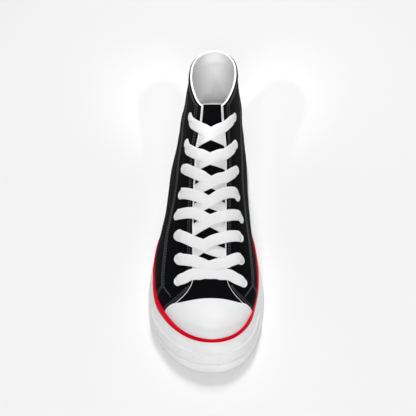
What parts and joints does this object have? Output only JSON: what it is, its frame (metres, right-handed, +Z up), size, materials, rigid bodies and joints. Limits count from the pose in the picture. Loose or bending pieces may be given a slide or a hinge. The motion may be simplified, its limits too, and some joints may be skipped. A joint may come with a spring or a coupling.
{
  "type": "high top sneaker",
  "caption": "Hollow high top canvas sneaker for the right foot: rubber sole with a raised sidewall, round rubber toe cap and bumper, open collar and throat, tongue, eyelets and flat laces.",
  "frame": {"origin": "middle of the shoe's bounding box in plan, on the floor plane that the sole stands on", "axes": "+Z up, the toe points along -Y and the heel along +Y, +X is the medial (inner) side of this right shoe"},
  "size_m": [0.1094, 0.302, 0.1652],
  "materials": {
    "white_rubber": "satin white rubber",
    "red_rubber": "satin red pinstripe",
    "black_canvas": "matt woven canvas",
    "white_lining": "matt woven lining",
    "white_lace": "matt flat woven lace",
    "eyelet_enamel": "white enamel"
  },
  "bodies": {
    "root": {"outsole": "white_rubber", "midsole": "white_rubber", "foxing_stripe": "red_rubber", "toe_bumper": "white_rubber", "insole": "white_lining", "upper": "black_canvas", "toe_cap": "white_rubber", "tongue": "black_canvas", "laces": "white_lace", "eyelet_lateral_1": "eyelet_enamel", "eyelet_lateral_2": "eyelet_enamel", "eyelet_lateral_3": "eyelet_enamel", "eyelet_lateral_4": "eyelet_enamel", "eyelet_lateral_5": "eyelet_enamel", "eyelet_lateral_6": "eyelet_enamel", "eyelet_lateral_7": "eyelet_enamel", "eyelet_lateral_8": "eyelet_enamel", "eyelet_medial_1": "eyelet_enamel", "eyelet_medial_2": "eyelet_enamel", "eyelet_medial_3": "eyelet_enamel", "eyelet_medial_4": "eyelet_enamel", "eyelet_medial_5": "eyelet_enamel", "eyelet_medial_6": "eyelet_enamel", "eyelet_medial_7": "eyelet_enamel", "eyelet_medial_8": "eyelet_enamel"}
  },
  "joints": []
}
